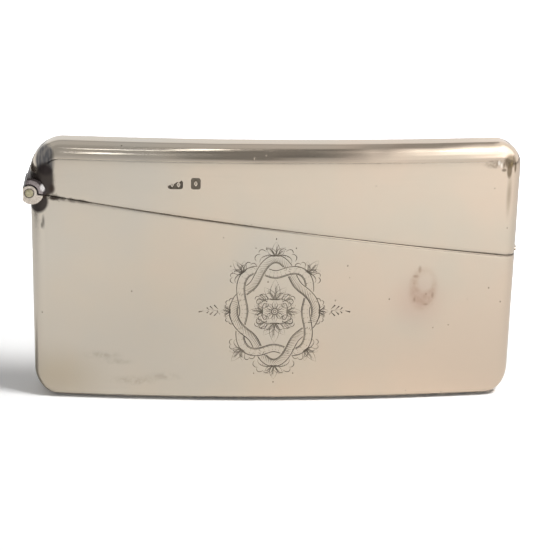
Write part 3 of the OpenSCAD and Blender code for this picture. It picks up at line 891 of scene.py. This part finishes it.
# Four scrolls and leaves between the palmettes, and three short cuts at every crossing of the straps
for mu in (1, -1):
    for mv in (1, -1):
        scroll((mu*1.5, mv*2.0), math.atan2(-mu*2.6, mv*4.2), 1.5, mu*mv)
        leaf((mu*1.9, mv*2.3), math.atan2(-mu*3.4, mv*3.0), 1.9, 0.75, lines=4)
for i in range(8):
    turn = math.pi*(i + 0.5)/4
    for reach in (7.05, 7.45, 7.85):
        u, v = reach*math.cos(turn), reach*1.3*math.sin(turn)
        cut([(u - 0.35*math.sin(turn), v + 0.35*math.cos(turn)), (u, v),
             (u + 0.35*math.sin(turn), v - 0.35*math.cos(turn))], FINE, swell=1)
# Leaves and scrolls on the four lobes of the one strap, and on the four lobes of the other
for angle, at, size in ((0, (0, 11.7), 2.9), (math.pi, (0, -11.7), 2.9), (math.pi/2, (-8.75, 0), 1.9),
                        (-math.pi/2, (8.75, 0), 1.9)):
    leaf(at, angle, size, size*0.42, lines=6)
    for hand in (1, -1):
        leaf(at, angle + hand*0.8, size*0.9, size*0.36, lines=5)
        root = (at[0] + hand*0.2*math.cos(angle), at[1] + hand*0.2*math.sin(angle))
        scroll(root, angle - hand*1.05, size*0.8, hand, volute=False)
    dot(at[0] + (size + 0.6)*math.sin(-angle), at[1] + (size + 0.6)*math.cos(angle), 0.24)
for mu in (1, -1):
    for mv in (1, -1):
        turn = math.atan2(mv*8.0, mu*6.2) - math.pi/2
        at = (mu*6.35, mv*8.15)
        leaf(at, turn, 3.3, 1.15, lines=6)
        for hand in (1, -1):
            leaf(at, turn + hand*0.75, 2.5, 0.9, lines=4)
            scroll(at, turn - hand*0.95, 1.8, hand, volute=False)
        dot(mu*3.9, mv*13.3, 0.2)
    # A sprig at either side: a thin bent stem, three pairs of wedge leaves and a bud at its end
    cut([(mu*10.7, -0.7), (mu*11.4, 0.1), (mu*12.7, 0.3), (mu*13.9, 0.0)], FINE, swell=0.5)
    for reach, long in ((10.9, 1.15), (11.9, 0.9), (12.8, 0.6)):
        for up in (1, -1):
            cut([(mu*(reach + a*long), 0.15 + up*b*long) for a, b in ((0.85, 1), (0.5, 0.6), (0.1, 0.2))],
                0.32, swell=0.5)
    cut([(mu*14.9, -0.2), (mu*14.4, -0.1), (mu*13.9, 0.1)], 0.4, swell=0.5)


def laid_in(name, made, at, material, rides):
    """Lays flat cuts into the bowed face: a thread for each, drawn flat, pressed thin and bent."""
    data = bpy.data.curves.new(name, "CURVE")
    data.dimensions = "3D"
    data.bevel_depth = 0.5
    data.bevel_resolution = 1
    data.use_fill_caps = True
    for points in made:
        spline = data.splines.new("POLY")
        spline.points.add(len(points) - 1)
        for p, (u, v, width) in zip(spline.points, points):
            p.co = (at[0] + u, 0, at[1] + v, 1)
            p.radius = width
    drawn = bpy.data.objects.new(name, data)
    bpy.context.collection.objects.link(drawn)
    bpy.context.view_layer.update()
    mesh = bpy.data.meshes.new_from_object(drawn.evaluated_get(bpy.context.evaluated_depsgraph_get()))
    bm = bmesh.new()
    bm.from_mesh(mesh)
    bpy.data.objects.remove(drawn)
    bpy.data.meshes.remove(mesh)
    bmesh.ops.remove_doubles(bm, verts=bm.verts, dist=1e-4)
    bmesh.ops.recalc_face_normals(bm, faces=bm.faces)
    for v in bm.verts:
        face = bent(v.co.x, DEEP, v.co.z)
        v.co = bent(v.co.x, DEEP - sunk(face) - THREAD_FLAT*v.co.y, v.co.z)
    piece = add_object(name, bm, material)
    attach(piece, rides)


cut_silver, tree = new_tree("tarnish_in_burin_cuts")
mm = in_mm(tree)
worn = add(tree, "ShaderNodeTexNoise", {"Vector": mm}, Scale=0.35, Detail=4.0)
colour = add(tree, "ShaderNodeValToRGB", {0: worn},
             stops=[(0.35, linear("#564f47")), (0.7, linear("#8a8173"))])
metal = add(tree, "ShaderNodeBsdfPrincipled", {"Base Color": colour}, Metallic=1.0, Roughness=0.45)
add(tree, "ShaderNodeOutputMaterial", {"Surface": metal})
laid_in("engraving", cuts_made, ORNAMENT_AT, cut_silver, "body")

# Two small struck marks on the lid: each a dark field with cut corners, where the punch met the
# sheet, and in it plain lozenges that stand out bright. The first was struck askew and is half
# worn away, so its field runs out under the silver at the upper left.
MARK_LIFT = 0.006
MARK_THICKNESS = 0.02
WORN_DEPTH = 0.06
# Each mark by its middle, its width and height, and the places of its lozenges
MARKS = (((-19.75, 44.9), (2.9, 1.85), (-0.62, 0.62)), ((-15.85, 45.15), (1.85, 2.3), (0,)))
LOZENGE = ((0, 0.46), (0.27, 0), (0, -0.46), (-0.27, 0), (0, 0.46))
bm = bmesh.new()
cuts_made = []
for (u, v), (wide, high), places in MARKS:
    field = bmesh.ops.create_grid(bm, x_segments=24, y_segments=18, size=0.5, matrix=(
        Matrix.Translation((u, 0, v)) @ Matrix.Rotation(math.pi/2, 4, "X")
        @ Matrix.Diagonal((wide, high, 1, 1))))
    for point in field["verts"]:
        across, up = (point.co.x - u)/wide*2, (point.co.z - v)/high*2
        corner = 0.14*max(0, abs(across) + abs(up) - 1.6)
        point.co.x -= corner*across*wide
        point.co.z -= corner*up*high
        if len(places) > 1:
            point.co.y += WORN_DEPTH*max(0, up - 0.25 - 0.62*across - 0.09*math.sin(9*across))
    for place in places:
        for a, b in zip(LOZENGE, LOZENGE[1:]):
            cut([(u + place + a[0], v + a[1]), (u + place + b[0], v + b[1])], 0.2, swell=0)
        dot(u + place, v, 0.16)
bmesh.ops.solidify(bm, geom=bm.faces[:], thickness=MARK_THICKNESS)
for point in bm.verts:
    x, y, z = point.co
    point.co = bent(x, DEEP - sunk(bent(x, DEEP, z)) + MARK_LIFT - y, z)
bmesh.ops.recalc_face_normals(bm, faces=bm.faces)
fields = add_object("struck_marks", bm, cut_silver)
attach(fields, "lid")
laid_in("mark_lozenges", cuts_made, (0, 0), polished, "lid")
